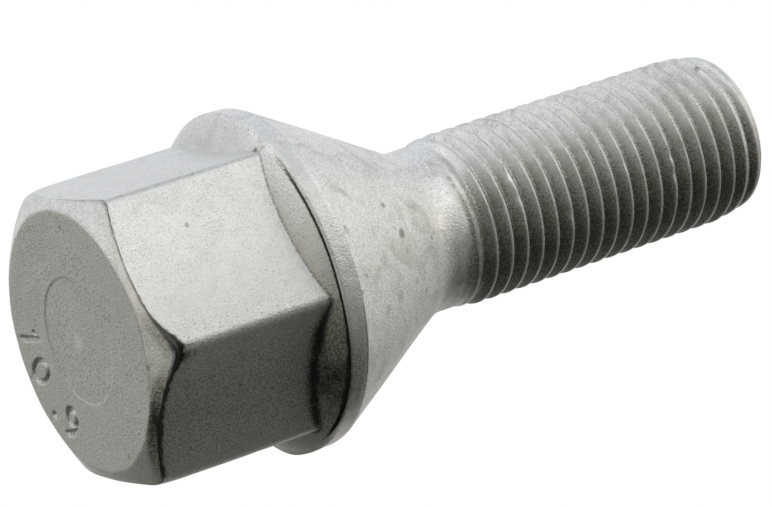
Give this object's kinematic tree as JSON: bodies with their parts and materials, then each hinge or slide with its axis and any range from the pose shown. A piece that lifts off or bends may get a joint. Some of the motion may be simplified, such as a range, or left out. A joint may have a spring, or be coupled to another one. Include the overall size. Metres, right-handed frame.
{
  "type": "wheel bolt",
  "caption": "Wheel bolt with a tall hexagon head, a round collar with a 60 degree conical seat, a short neck and a fully threaded shank with a chamfered tip.",
  "frame": {"origin": "centre of the flat face on the end of the hexagon head, which is the face the bolt stands on", "axes": "+Z along the bolt's axis, from the head's face towards the threaded tip; +X through a corner of the hexagon"},
  "size_m": [0.0234, 0.0234, 0.0518],
  "materials": {
    "coated_steel": "matte grey zinc flake coating on forged steel, fine sandy grain"
  },
  "bodies": {
    "root": {"wheel_bolt": "coated_steel"}
  },
  "joints": []
}
